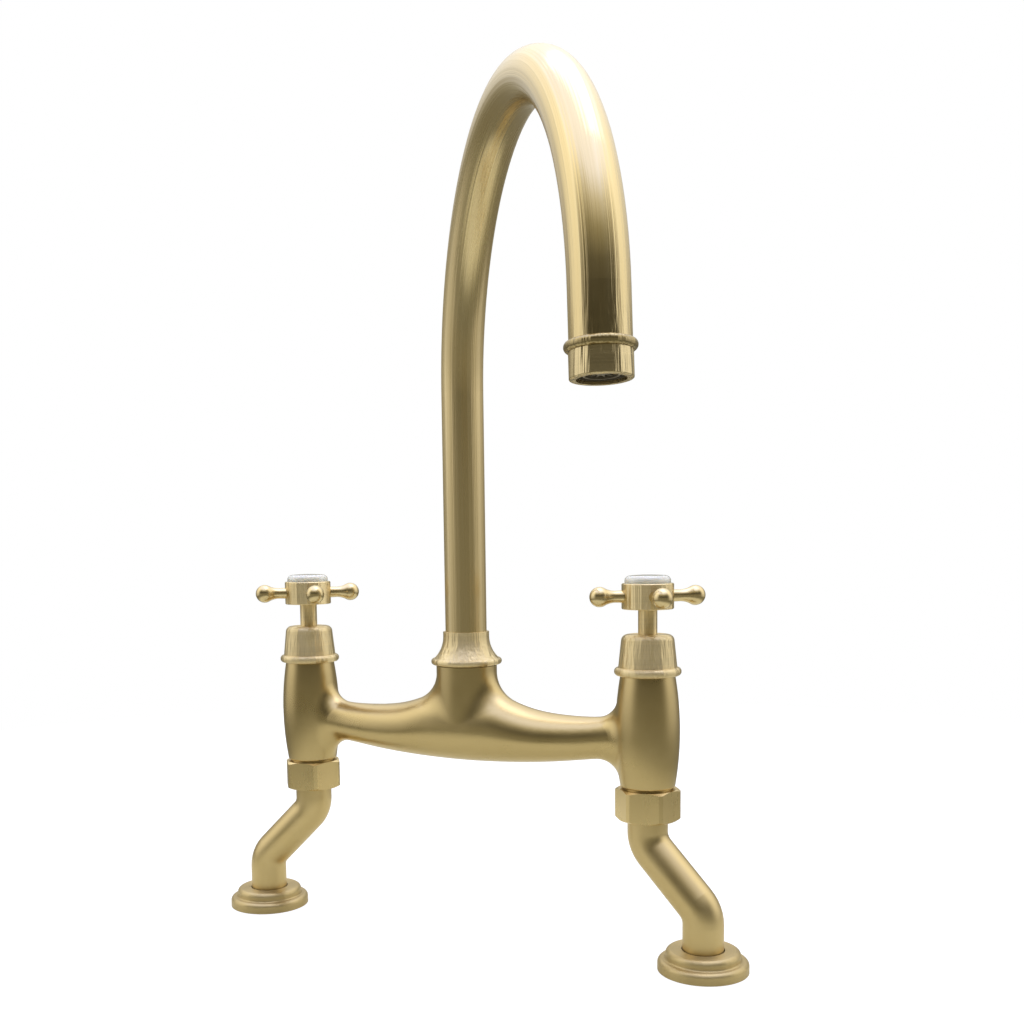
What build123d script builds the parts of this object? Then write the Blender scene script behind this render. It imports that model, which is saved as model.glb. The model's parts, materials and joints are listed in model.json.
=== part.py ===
from build123d import *
import os
from math import asin, cos, degrees, hypot, radians, sin, sqrt, tan

# Bridge kitchen faucet on two cranked legs, in millimetres.
# X runs along the bridge to the cold side, -Y faces the user, Z is up, and z = 0 is the deck.
# The origin is on the deck, midway between the two valve pillars. The spout is swung to one side.

# ---- Layout ---------------------------------------------------------------------------------
PILLAR_SPACING = 203.0      # between the axes of the two valve pillars
BRIDGE_HEIGHT = 111.4       # deck to the axis of the bridge arms
SPOUT_TURN = 39.7           # spout's swing from straight ahead, towards the cold side, degrees
LEG_OFFSET = 30.8           # pillar axis to the axis of the leg's foot
LEG_TURN = 9.4              # foot's swing forward of the bridge line, degrees
HOT_HANDLE_TURN = 44.2      # direction of the handle's first arm from the bridge line, degrees
COLD_HANDLE_TURN = 35.4
HOT_NUT_TURN = 9.0          # swing of the union nut from flat to the front, degrees
COLD_NUT_TURN = 12.0
DECK_THICKNESS = 30.0       # worktop that the shanks clamp

# ---- Clearances -----------------------------------------------------------------------------
FIT = 0.03                  # between parts that are screwed, pressed or brazed together
RUNNING = 0.05              # between parts that turn in each other
FACE_GAP = 0.05             # between faces that turn on each other
FREE_GAP = 0.3              # between a moving part and a hole that doesn't guide it

# ---- Habits of shape ------------------------------------------------------------------------
BEAD_ROUNDING = 0.48        # radius of a bead's edges, as a share of its height
NUT_CHAMFER = 30.0          # slope of the chamfers on hexagon nuts, degrees

# ---- Bridge casting -------------------------------------------------------------------------
PILLAR_BELOW = 22.6         # bridge axis down to the pillar's lower face
PILLAR_ABOVE = 33.6         # bridge axis up to the pillar's upper face
PILLAR_END_R = 13.6
PILLAR_BULGE = 2.4          # how far the barrel swells between its ends
PILLAR_EDGE = 1.2
ARM_R = 10.15
BRIDGE_STATIONS = 9         # cross-sections from the middle to each pillar
BELLY_REACH = 76.0          # half length of the swollen stretch of the bridge
BELLY_DROP = 6.1            # swelling below, at the middle
BELLY_DEPTH = 6.3           # swelling to the front and back, at the middle
SWEEP_RISE = 10.0           # rise of the arms' top line at the neck
SWEEP_REACH = 31.5          # distance from the neck's axis at half of that rise
ROOT_RISE = 4.6             # rise of the arms' top line at the pillars
ROOT_REACH = 18.0           # distance from the pillar's axis at half of that rise
NECK_R = 16.2
NECK_ABOVE = 35.1           # bridge axis up to the neck's shoulder
NECK_THREAD_R = 14.0
NECK_THREAD_LENGTH = 5.5
PILLAR_FILLET = 12.0
NECK_FILLET = 18.5
WATERWAY_R = 5.0
INLET_R = 6.0
SPIGOT_R = 12.9             # pillar's threaded tail in the union nut
SPIGOT_LENGTH = 9.3
SPIGOT_RELIEF = 0.8         # plain groove between the pillar and its thread
THREAD_CHAMFER = 0.8

# ---- Swivel and spout -----------------------------------------------------------------------
SPOUT_R = 11.0
SPOUT_WALL = 1.2
ARCH_BASE = 289.7           # deck to the start of the arch
ARCH_R = 111.4
ARCH_ANGLE = 175.5
TIP_LENGTH = 31.0           # straight length after the arch, with the outlet fitting
SWIVEL_BORE_R = 10.2
SWIVEL_DEPTH = 28.0         # bore's depth below the top of the neck's thread
SWIVEL_WALL = 3.4
SWIVEL_FLANGE_R = 12.6
SWIVEL_FLANGE_HEIGHT = 2.0
SWIVEL_SOCKET = 14.0        # length brazed into the tube
SLIP_WASHER = 0.5
SEAL_DEPTHS = (7.0, 16.0)   # O-rings below the top of the neck's thread
SEAL_R = 1.0                # radius of the rings' section
COLLAR_HEIGHT = 17.5
COLLAR_TOP_R = 12.3
COLLAR_FOOT_R = 17.2
COLLAR_FLARE_R = 16.2
COLLAR_BEAD_R = 18.9
COLLAR_BEAD_HEIGHT = 3.4
COLLAR_SKIRT = 0.6          # collar's lower edge above the neck's shoulder

# ---- Outlet ---------------------------------------------------------------------------------
BEAD_R = 12.8
BEAD_HEIGHT = 3.6
FERRULE_SOCKET = 9.0
FERRULE_NOSE_R = 9.6
FERRULE_BORE_R = 7.6
HOUSING_R = 11.2
HOUSING_LENGTH = 9.4
HOUSING_LIP = 1.2
HOUSING_EDGE = 0.5
OUTLET_R = 8.8
CAGE_HEIGHT = 2.6
CAGE_RIM = 1.0
CAGE_RING_R = 6.4
CAGE_RIBS = 12
CAGE_WEB = 0.7              # thickness of the cage's ring and ribs
SCREEN_COUNT = 2
SCREEN_THICKNESS = 0.3
SCREEN_PITCH = 2.2
SCREEN_HOLE = 1.5
OUTLET_SEAL = 0.8

# ---- Valve headwork -------------------------------------------------------------------------
VALVE_R = 9.2
VALVE_THREAD_R = 10.3
VALVE_THREAD = 11.0
VALVE_SEAT_BELOW = 7.4      # bridge axis down to the seat
VALVE_SKIRT_WALL = 0.9
VALVE_FLANGE_R = 11.9
VALVE_FLANGE = 2.2
VALVE_HEX = 21.0
VALVE_HEX_HEIGHT = 6.3
VALVE_NECK_R = 7.0
SEAT_SEAL = 1.8
DISC_THICKNESS = 3.2
DISC_PORT = 5.0
WINDOW_WIDTH = 8.0
WINDOW_HEIGHT = 6.0
SPINDLE_R = 4.4
SPINDLE_FLANGE = 2.6
SPINDLE_TOP_R = 3.0
SPINDLE_KEY = 1.4
SPINDLE_SEAL_R = 0.7
SPINDLE_SEALS = (16.0, 20.5)   # below the top of the valve's neck
CLIP_THICKNESS = 0.8
CLIP_R = 5.6
BODY_SEAL_R = 0.8

# ---- Shroud and handle ----------------------------------------------------------------------
SHROUD_HEIGHT = 20.5
SHROUD_TOP_R = 12.85
SHROUD_FOOT_R = 14.6
SHROUD_SHOULDER = 3.2
SHROUD_BEAD_R = 16.65
SHROUD_BEAD_HEIGHT = 4.1
SHROUD_CAVITY_R = 12.3
SHROUD_CAVITY = 9.5
SHROUD_ROOF = 1.7
STEM_R = 4.75
STEM_VISIBLE = 12.6
STEM_ENTRY = 1.2            # stem's end inside the shroud's roof
TENON_R = 4.0
TENON_LENGTH = 3.7
HUB_R = 12.9
HUB_HEIGHT = 12.7
HUB_EDGE = 0.4
ARM_COUNT = 4
ARM_TIP = 29.5              # handle axis to the end of an arm
ARM_BALL_R = 5.0
ARM_NECK_R = 2.55
ARM_ROOT_R = 3.1
ARM_BLEND = 11.5
ARM_TAIL_R = 1.9
ARM_TAIL = 5.4
BUTTON_R = 11.4
BUTTON_RISE = 4.2           # button's height above the hub
BUTTON_CROWN = 0.6
BUTTON_EDGE = 2.6
BUTTON_SEAT = 3.0           # depth of its recess
BUTTON_GAP = 0.1
BOSS_R = 5.9
BOSS_LENGTH = 2.6
BOSS_WALL = 2.2
BOSS_SEAL_R = 0.6
SCREW_POCKET = 5.8          # depth of the pocket under the button's recess
SCREW_HEAD_R = 5.2
SCREW_HEAD = 2.2
SCREW_R = 2.0
SCREW_LENGTH = 10.0
SCREW_SOCKET = 3.0          # across flats of its hexagon socket

# ---- Union, leg and foot --------------------------------------------------------------------
NUT_FLATS = 29.4
NUT_CORNER_R = 16.4
NUT_FACE_R = 14.7
NUT_HEIGHT = 15.7
NUT_BELOW_PILLAR = 0.8
NUT_WEB = 2.4
UNION_WASHER = 2.0
LEG_R = 10.15
LEG_BORE_R = 7.9
LEG_COLLAR_R = 12.4
LEG_COLLAR = 2.0
LEG_DROP = 6.4              # straight stretch below the nut
LEG_FOOT_RISE = 23.0        # deck to the top of the foot's straight stretch
LEG_SLANT = 45.0            # degrees
LEG_TUBE_LIFT = 3.0         # leg tube's end above the deck
FLANGE_R = 22.45
FLANGE_HEIGHT = 10.5
FLANGE_RIM = 5.6
FLANGE_RIM_EDGE = 2.2
FLANGE_STEP_R = 18.5
FLANGE_STEP_EDGE = 2.5
FLANGE_COVE = 0.9
FLANGE_GAP = 0.5
FLANGE_SEAL_R = 19.5
FLANGE_SEAL_WIDTH = 5.0
FLANGE_SEAL = 1.5
INLET_THREAD_R = 10.48      # half-inch pipe thread at the free end, major radius
SHANK_R = 11.0              # backnut's thread above it, major radius
SHANK_BORE_R = 6.5
SHANK_SOCKET = 12.0
SHANK_FREE = 20.0           # thread below the backnut
SHANK_SHOULDER = 1.0        # backnut's thread that shows below the backnut
SHANK_RELIEF = 1.2          # width and depth of the groove between the two threads
WASHER_R = 19.0
WASHER_GAP = 0.4
RUBBER_WASHER = 2.5
BRASS_WASHER = 1.5
BACKNUT_FLATS = 30.0
BACKNUT_HEIGHT = 8.0

# ---- Heights and places that follow from the sizes above ------------------------------------
PILLAR_BOTTOM = BRIDGE_HEIGHT - PILLAR_BELOW
PILLAR_TOP = BRIDGE_HEIGHT + PILLAR_ABOVE
NECK_TOP = BRIDGE_HEIGHT + NECK_ABOVE
NECK_END = NECK_TOP + NECK_THREAD_LENGTH
SPIGOT_END = PILLAR_BOTTOM - SPIGOT_LENGTH
NUT_TOP = PILLAR_BOTTOM - NUT_BELOW_PILLAR
NUT_BOTTOM = NUT_TOP - NUT_HEIGHT
LEG_TOP = SPIGOT_END - UNION_WASHER - FACE_GAP
VALVE_SEAT = BRIDGE_HEIGHT - VALVE_SEAT_BELOW
SHROUD_TOP = PILLAR_TOP + SHROUD_HEIGHT
HUB_BOTTOM = SHROUD_TOP + STEM_VISIBLE
HUB_TOP = HUB_BOTTOM + HUB_HEIGHT
POCKET_FLOOR = HUB_TOP - BUTTON_SEAT - SCREW_POCKET
FLANGE_BOTTOM = NECK_END + SLIP_WASHER + FACE_GAP
FLANGE_TOP = FLANGE_BOTTOM + SWIVEL_FLANGE_HEIGHT
COLLAR_LEDGE = FLANGE_TOP + FACE_GAP + SLIP_WASHER
NECK_VALVE_TOP = SHROUD_TOP - SHROUD_ROOF - FREE_GAP
DECK_UNDERSIDE = -DECK_THICKNESS
BACKNUT_TOP = DECK_UNDERSIDE - RUBBER_WASHER - BRASS_WASHER
BACKNUT_BOTTOM = BACKNUT_TOP - BACKNUT_HEIGHT
SHANK_END = BACKNUT_BOTTOM - SHANK_FREE

# The outlet's heights are counted up the tube from its lip.
CAGE_BOTTOM = HOUSING_LIP + FIT
SCREENS_BOTTOM = CAGE_BOTTOM + CAGE_HEIGHT + FIT
OUTLET_SEAL_BOTTOM = SCREENS_BOTTOM + SCREEN_COUNT * (SCREEN_THICKNESS + FIT)
FERRULE_NOSE_END = OUTLET_SEAL_BOTTOM + OUTLET_SEAL + FIT

ON_BASE = (Align.CENTER, Align.CENTER, Align.MIN)


def post(radius, bottom, top):
    """Round bar on the Z axis."""
    return Pos(0, 0, bottom) * Cylinder(radius, top - bottom, align=ON_BASE)


def pipe(outer, inner, bottom, top):
    """Round pipe on the Z axis."""
    return post(outer, bottom, top) - post(inner, bottom, top)


def turned(*corners):
    """Solid turned about Z. A corner is (radius, height), or (radius, height, rounding)."""
    face = make_face(Polyline(*[corner[:2] for corner in corners], close=True))
    for radius, height, *rounding in corners:
        if rounding:
            vertex = face.vertices().sort_by_distance((radius, height))[0]
            face = fillet(vertex, rounding[0])
    return revolve(Plane.XZ * face, Axis.Z)


def o_ring(centre_radius, section_radius, height):
    """Rubber ring round the Z axis."""
    return Pos(0, 0, height) * Torus(centre_radius, section_radius)


def hexagon(flats, bottom, top):
    """Hexagonal bar on the Z axis."""
    outline = RegularPolygon(flats / 2, 6, major_radius=False)
    return extrude(Pos(0, 0, bottom) * outline, top - bottom)


def hex_nut(flats, corner_radius, face_radius, bottom, top):
    """Hexagon with turned corners, chamfered at both faces."""
    chamfer_height = (corner_radius - face_radius) * tan(radians(NUT_CHAMFER))
    envelope = turned(
        (0, bottom),
        (face_radius, bottom),
        (corner_radius, bottom + chamfer_height),
        (corner_radius, top - chamfer_height),
        (face_radius, top),
        (0, top),
    )
    return hexagon(flats, bottom, top) & envelope


# ---- Bridge casting -------------------------------------------------------------------------
def bridge_section(x):
    """Outline across the bridge at x: an ellipse with a bowed belly and a top that sweeps up."""
    swell = max(0.0, 1 - (x / BELLY_REACH) ** 2)
    sweep_rise = SWEEP_RISE / (1 + (x / SWEEP_REACH) ** 4)
    root_rise = ROOT_RISE / (1 + ((PILLAR_SPACING / 2 - abs(x)) / ROOT_REACH) ** 4)
    bottom = BRIDGE_HEIGHT - ARM_R - BELLY_DROP * swell
    top = BRIDGE_HEIGHT + ARM_R + sweep_rise + root_rise
    middle = (bottom + top) / 2
    place = Plane(origin=(x, 0, middle), x_dir=(0, 1, 0), z_dir=(1, 0, 0))
    return place * Ellipse(ARM_R + BELLY_DEPTH * swell, top - middle)


def bridge_arms():
    """Both arms and the belly between them, as one smooth body from pillar to pillar."""
    step = PILLAR_SPACING / 2 / BRIDGE_STATIONS
    return loft([bridge_section(n * step) for n in range(-BRIDGE_STATIONS, BRIDGE_STATIONS + 1)])


def pillar():
    """Barrel that holds one valve, with the threaded tail for the union nut."""
    height = PILLAR_TOP - PILLAR_BOTTOM
    bulge = ThreePointArc(
        (PILLAR_END_R, PILLAR_BOTTOM),
        (PILLAR_END_R + PILLAR_BULGE, PILLAR_BOTTOM + height / 2),
        (PILLAR_END_R, PILLAR_TOP),
    )
    core = Polyline(
        (PILLAR_END_R, PILLAR_TOP),
        (0, PILLAR_TOP),
        (0, PILLAR_BOTTOM),
        (PILLAR_END_R, PILLAR_BOTTOM),
    )
    outline = make_face(bulge + core)
    corner = outline.vertices().sort_by_distance((PILLAR_END_R, PILLAR_BOTTOM))[0]
    return revolve(Plane.XZ * fillet(corner, PILLAR_EDGE), Axis.Z)


def pillar_spigot():
    """Threaded tail below the pillar."""
    relief = SPIGOT_R - THREAD_CHAMFER
    return turned(
        (0, SPIGOT_END),
        (SPIGOT_R - THREAD_CHAMFER, SPIGOT_END),
        (SPIGOT_R, SPIGOT_END + THREAD_CHAMFER),
        (SPIGOT_R, PILLAR_BOTTOM - SPIGOT_RELIEF),
        (relief, PILLAR_BOTTOM - SPIGOT_RELIEF),
        (relief, PILLAR_BOTTOM + PILLAR_EDGE),
        (0, PILLAR_BOTTOM + PILLAR_EDGE),
    )


def valve_bore():
    """Stepped bore down one pillar: thread, valve chamber, seat and inlet."""
    chamber = post(VALVE_R + FIT, VALVE_SEAT, PILLAR_TOP)
    mouth = post(VALVE_THREAD_R + FIT, PILLAR_TOP - VALVE_THREAD, PILLAR_TOP)
    inlet = post(INLET_R, SPIGOT_END, VALVE_SEAT)
    return chamber + mouth + inlet


def bridge_casting():
    """Two pillars, the arms between them and the neck, cast in one and bored for the water."""
    sides = [Rot(0, 0, turn) * Pos(PILLAR_SPACING / 2, 0, 0) for turn in (0, 180)]
    casting = bridge_arms()
    for side in sides:
        post_with_arm = casting + side * pillar()
        roots = new_edges(casting, side * pillar(), combined=post_with_arm)
        casting = fillet(roots, PILLAR_FILLET)
    neck = post(NECK_R, BRIDGE_HEIGHT, NECK_TOP)
    necked = casting + neck
    casting = fillet(new_edges(casting, neck, combined=necked), NECK_FILLET)
    casting += post(NECK_THREAD_R, NECK_TOP, NECK_END)
    casting += [side * pillar_spigot() for side in sides]
    swivel_bore = post(SWIVEL_BORE_R, NECK_END - SWIVEL_DEPTH, NECK_END)
    drop = post(SWIVEL_BORE_R - SWIVEL_WALL, BRIDGE_HEIGHT, NECK_END)
    waterway = Pos(0, 0, BRIDGE_HEIGHT) * Rot(0, 90, 0) * Cylinder(WATERWAY_R, PILLAR_SPACING)
    return casting - swivel_bore - drop - waterway - [side * valve_bore() for side in sides]


# ---- Swivel and spout, drawn in the XZ plane with the outlet towards +X -----------------------
def spout_collar():
    """Bell-shaped collar, screwed to the neck, that holds the spout down and lets it swing."""
    foot = NECK_TOP + COLLAR_SKIRT
    bead_top = foot + COLLAR_BEAD_HEIGHT
    top = foot + COLLAR_HEIGHT
    flare_corner = bead_top + (COLLAR_FOOT_R - COLLAR_TOP_R)
    bell = turned(
        (0, foot),
        (COLLAR_FOOT_R - COLLAR_SKIRT, foot),
        (COLLAR_BEAD_R, foot, COLLAR_BEAD_HEIGHT * BEAD_ROUNDING),
        (COLLAR_BEAD_R, bead_top, COLLAR_BEAD_HEIGHT * BEAD_ROUNDING),
        (COLLAR_FOOT_R, bead_top),
        (COLLAR_TOP_R, flare_corner, COLLAR_FLARE_R),
        (COLLAR_TOP_R, top),
        (0, top),
    )
    thread = post(NECK_THREAD_R + FIT, foot, NECK_END + FIT)
    chamber = post(SWIVEL_FLANGE_R + FREE_GAP, foot, COLLAR_LEDGE)
    return bell - thread - chamber - post(SPOUT_R + RUNNING, foot, top)


def spout_tail():
    """Turned tail brazed into the tube, with the flange and O-ring grooves of the swivel."""
    foot = NECK_END - SWIVEL_DEPTH + FREE_GAP
    barrel = SWIVEL_BORE_R - RUNNING
    tail = post(barrel, foot, FLANGE_TOP) + post(SWIVEL_FLANGE_R, FLANGE_BOTTOM, FLANGE_TOP)
    tail += post(SPOUT_R - SPOUT_WALL - FIT, FLANGE_TOP, FLANGE_TOP + SWIVEL_SOCKET)
    for depth in SEAL_DEPTHS:
        middle = NECK_END - depth
        groove_radius = barrel - 2 * SEAL_R
        tail -= pipe(barrel + FIT, groove_radius, middle - SEAL_R - FIT, middle + SEAL_R + FIT)
    return tail - post(SWIVEL_BORE_R - SWIVEL_WALL, foot, FLANGE_TOP + SWIVEL_SOCKET)


def spout_seals():
    """O-rings of the swivel."""
    middle = SWIVEL_BORE_R - RUNNING - SEAL_R + FIT
    return Part() + [o_ring(middle, SEAL_R - FIT / 2, NECK_END - depth) for depth in SEAL_DEPTHS]


def slip_washer(bottom):
    """Thin low-friction ring that the swivel's flange turns against."""
    return pipe(SWIVEL_FLANGE_R, SPOUT_R + FREE_GAP, bottom, bottom + SLIP_WASHER)


def arch_line(length_after):
    """Riser, arch and the straight stretch after it, as one smooth line."""
    riser = Line((0, FLANGE_TOP), (0, ARCH_BASE))
    arch = CenterArc((ARCH_R, ARCH_BASE), ARCH_R, 180, -ARCH_ANGLE)
    tip = PolarLine(arch @ 1, length_after, direction=arch % 1)
    return Plane.XZ * (riser + arch + tip)


def spout_tube():
    """Bent tube from the swivel to the outlet fitting."""
    line = arch_line(TIP_LENGTH - HOUSING_LENGTH - BEAD_HEIGHT)
    start = Plane(origin=(0, 0, FLANGE_TOP), z_dir=(0, 0, 1))
    section = Circle(SPOUT_R) - Circle(SPOUT_R - SPOUT_WALL)
    return sweep(start * section, path=line)


def outlet_place():
    """Frame at the outlet's lip, with local Z pointing back up the tube."""
    line = arch_line(TIP_LENGTH)
    return Plane(origin=line @ 1, x_dir=(0, 1, 0), z_dir=-(line % 1))


def outlet_ferrule():
    """End fitting brazed into the tube: the bead and the thread for the aerator."""
    bead_bottom = HOUSING_LENGTH
    bead_top = bead_bottom + BEAD_HEIGHT
    socket_end = bead_top + FERRULE_SOCKET
    bead = turned(
        (0, bead_bottom),
        (BEAD_R, bead_bottom, BEAD_HEIGHT * BEAD_ROUNDING),
        (BEAD_R, bead_top, BEAD_HEIGHT * BEAD_ROUNDING),
        (0, bead_top),
    )
    socket = post(SPOUT_R - SPOUT_WALL - FIT, bead_top, socket_end)
    nose = post(FERRULE_NOSE_R, FERRULE_NOSE_END, bead_bottom)
    return bead + socket + nose - post(FERRULE_BORE_R, FERRULE_NOSE_END, socket_end)


def aerator_housing():
    """Screwed sleeve that holds the aerator against its seal."""
    shell = turned(
        (0, 0),
        (HOUSING_R, 0, HOUSING_EDGE),
        (HOUSING_R, HOUSING_LENGTH - FIT),
        (0, HOUSING_LENGTH - FIT),
    )
    return shell - post(OUTLET_R, 0, HOUSING_LIP) - post(FERRULE_NOSE_R + FIT, HOUSING_LIP, HOUSING_LENGTH)


def aerator_cage():
    """Moulded insert: rim, inner ring and radial ribs."""
    outer = FERRULE_NOSE_R
    top = CAGE_BOTTOM + CAGE_HEIGHT
    rim = pipe(outer, outer - CAGE_RIM, CAGE_BOTTOM, top)
    ring = pipe(CAGE_RING_R, CAGE_RING_R - CAGE_WEB, CAGE_BOTTOM, top)
    rib_length = outer - CAGE_RIM / 2
    rib = Pos(rib_length / 2, 0, CAGE_BOTTOM + CAGE_WEB) * Box(
        rib_length, CAGE_WEB, CAGE_HEIGHT - CAGE_WEB, align=ON_BASE
    )
    hub = post(2 * CAGE_WEB, CAGE_BOTTOM + CAGE_WEB / 2, top)
    return rim + ring + hub + [Rot(0, 0, 360 * n / CAGE_RIBS) * rib for n in range(CAGE_RIBS)]


def aerator_screens():
    """Perforated discs above the cage."""
    radius = FERRULE_NOSE_R
    half_count = int((radius - CAGE_RIM) / SCREEN_PITCH)
    steps = range(-half_count, half_count + 1)
    reach = radius - CAGE_RIM - SCREEN_HOLE / sqrt(2)
    places = [Pos(i * SCREEN_PITCH, j * SCREEN_PITCH) for i in steps for j in steps
              if hypot(i, j) * SCREEN_PITCH < reach]
    sheet = Circle(radius) - [place * Rectangle(SCREEN_HOLE, SCREEN_HOLE) for place in places]
    screen = extrude(sheet, SCREEN_THICKNESS)
    return Part() + [
        Pos(0, 0, SCREENS_BOTTOM + n * (SCREEN_THICKNESS + FIT)) * Rot(0, 0, 45 * n) * screen
        for n in range(SCREEN_COUNT)
    ]


def aerator_seal():
    """Flat rubber ring between the screens and the ferrule's nose."""
    return pipe(FERRULE_NOSE_R, FERRULE_BORE_R, OUTLET_SEAL_BOTTOM, OUTLET_SEAL_BOTTOM + OUTLET_SEAL)


# ---- One valve and its handle, drawn on the Z axis --------------------------------------------
DISC_R = VALVE_R - VALVE_SKIRT_WALL - FIT
SEAT_TOP = VALVE_SEAT + SEAT_SEAL
FIXED_DISC_TOP = SEAT_TOP + FIT + DISC_THICKNESS
MOVING_DISC_BOTTOM = FIXED_DISC_TOP + FIT
MOVING_DISC_TOP = MOVING_DISC_BOTTOM + DISC_THICKNESS
SPINDLE_FLANGE_BOTTOM = MOVING_DISC_TOP + FIT
SPINDLE_SHOULDER = SPINDLE_FLANGE_BOTTOM + SPINDLE_FLANGE
SPINDLE_TOP = POCKET_FLOOR - FREE_GAP - FIT
MOVING_R = DISC_R - FREE_GAP


def valve_body():
    """Screwed brass body of the headwork, with two windows for the water."""
    skirt_bore = VALVE_R - VALVE_SKIRT_WALL
    hex_bottom = PILLAR_TOP + VALVE_FLANGE
    body = post(VALVE_R, SEAT_TOP, hex_bottom)
    body += post(VALVE_THREAD_R, PILLAR_TOP - VALVE_THREAD + FIT, hex_bottom)
    body += post(VALVE_FLANGE_R, PILLAR_TOP + FIT, hex_bottom)
    body += hexagon(VALVE_HEX, hex_bottom, hex_bottom + VALVE_HEX_HEIGHT)
    body += post(VALVE_NECK_R, hex_bottom, NECK_VALVE_TOP)
    body -= post(skirt_bore, SEAT_TOP, SPINDLE_SHOULDER + FACE_GAP)
    body -= post(SPINDLE_R + RUNNING, SEAT_TOP, NECK_VALVE_TOP)
    body -= post(CLIP_R + FREE_GAP, NECK_VALVE_TOP - CLIP_THICKNESS - 2 * FACE_GAP, NECK_VALVE_TOP)
    groove_floor = VALVE_THREAD_R - 2 * BODY_SEAL_R
    groove_bottom = PILLAR_TOP - 2 * BODY_SEAL_R
    body -= pipe(VALVE_THREAD_R + FIT, groove_floor, groove_bottom, PILLAR_TOP + FIT)
    window = Pos(0, 0, MOVING_DISC_BOTTOM) * Box(3 * VALVE_R, WINDOW_WIDTH, WINDOW_HEIGHT, align=ON_BASE)
    return body - window


def body_seal():
    """O-ring that seals the valve body in the pillar's mouth."""
    return o_ring(VALVE_THREAD_R - BODY_SEAL_R, BODY_SEAL_R - FIT, PILLAR_TOP - BODY_SEAL_R)


def seat_seal():
    """Rubber ring pressed on the pillar's seat."""
    return pipe(VALVE_R, INLET_R, VALVE_SEAT, SEAT_TOP - FIT)


def disc_ports(bottom, top):
    """Two quarter openings through a ceramic disc."""
    quarter = Circle(DISC_PORT) & Rectangle(DISC_PORT, DISC_PORT, align=Align.MIN)
    trimmed = quarter - Circle(SPINDLE_KEY)
    port = Pos(0, 0, bottom) * extrude(trimmed, top - bottom)
    return [port, Rot(0, 0, 180) * port]


def fixed_disc():
    """Ceramic disc held by the valve body."""
    blank = post(DISC_R, SEAT_TOP + FIT, FIXED_DISC_TOP)
    return blank - disc_ports(SEAT_TOP, FIXED_DISC_TOP + FIT)


def moving_disc():
    """Ceramic disc that the spindle turns over the fixed one. Its ports stand across the others."""
    blank = post(MOVING_R, MOVING_DISC_BOTTOM, MOVING_DISC_TOP)
    ports = [Rot(0, 0, 90) * port for port in disc_ports(MOVING_DISC_BOTTOM, MOVING_DISC_TOP)]
    slot = Pos(0, 0, MOVING_DISC_TOP - SPINDLE_KEY) * Box(
        2 * MOVING_R, 2 * (SPINDLE_KEY + FIT), SPINDLE_KEY, align=ON_BASE
    )
    return blank - ports - slot


def spindle():
    """Stepped shaft from the moving disc to the handle."""
    clip_middle = NECK_VALVE_TOP - CLIP_THICKNESS / 2 - FACE_GAP
    shaft = post(SPINDLE_R, SPINDLE_FLANGE_BOTTOM, NECK_VALVE_TOP)
    shaft += post(MOVING_R, SPINDLE_FLANGE_BOTTOM, SPINDLE_SHOULDER)
    shaft += post(SPINDLE_TOP_R, NECK_VALVE_TOP, SPINDLE_TOP)
    key_foot = MOVING_DISC_TOP - SPINDLE_KEY + FIT
    shaft += Pos(0, 0, key_foot) * Box(
        1.8 * MOVING_R, 2 * SPINDLE_KEY, SPINDLE_FLANGE_BOTTOM - key_foot, align=ON_BASE
    )
    for depth in SPINDLE_SEALS:
        middle = NECK_VALVE_TOP - depth
        floor = SPINDLE_R - 2 * SPINDLE_SEAL_R
        shaft -= pipe(SPINDLE_R + FIT, floor, middle - SPINDLE_SEAL_R, middle + SPINDLE_SEAL_R)
    clip_half = CLIP_THICKNESS / 2
    shaft -= pipe(SPINDLE_R + FIT, SPINDLE_TOP_R, clip_middle - clip_half, clip_middle + clip_half)
    return shaft - post(SCREW_R + FIT, POCKET_FLOOR - SCREW_LENGTH - FREE_GAP, SPINDLE_TOP)


def spindle_seals():
    """O-rings on the spindle."""
    middle = SPINDLE_R - SPINDLE_SEAL_R + FIT / 2
    section = SPINDLE_SEAL_R - FIT / 2
    return Part() + [o_ring(middle, section, NECK_VALVE_TOP - depth) for depth in SPINDLE_SEALS]


def spindle_clip():
    """Open snap ring that holds the spindle in the valve body."""
    bottom = NECK_VALVE_TOP - CLIP_THICKNESS - FACE_GAP + FIT
    top = NECK_VALVE_TOP - FACE_GAP - FIT
    ring = pipe(CLIP_R, SPINDLE_TOP_R + FIT, bottom, top)
    outward = (Align.MIN, Align.CENTER, Align.MIN)
    mouth = Pos(0, 0, bottom) * Box(CLIP_R, 2 * SCREW_R, top - bottom, align=outward)
    return ring - mouth


def shroud():
    """Turned cover over the headwork, screwed to the valve's neck."""
    foot = PILLAR_TOP + FIT
    bead_top = foot + SHROUD_BEAD_HEIGHT
    cover = turned(
        (0, foot),
        (SHROUD_BEAD_R, foot, SHROUD_BEAD_HEIGHT * BEAD_ROUNDING),
        (SHROUD_BEAD_R, bead_top, SHROUD_BEAD_HEIGHT * BEAD_ROUNDING),
        (SHROUD_FOOT_R, bead_top),
        (SHROUD_TOP_R, SHROUD_TOP, SHROUD_SHOULDER),
        (0, SHROUD_TOP),
    )
    cover -= post(SHROUD_CAVITY_R, foot, foot + SHROUD_CAVITY)
    cover -= post(VALVE_NECK_R + FIT, foot, SHROUD_TOP - SHROUD_ROOF)
    return cover - post(STEM_R + FREE_GAP, foot, SHROUD_TOP)


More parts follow.
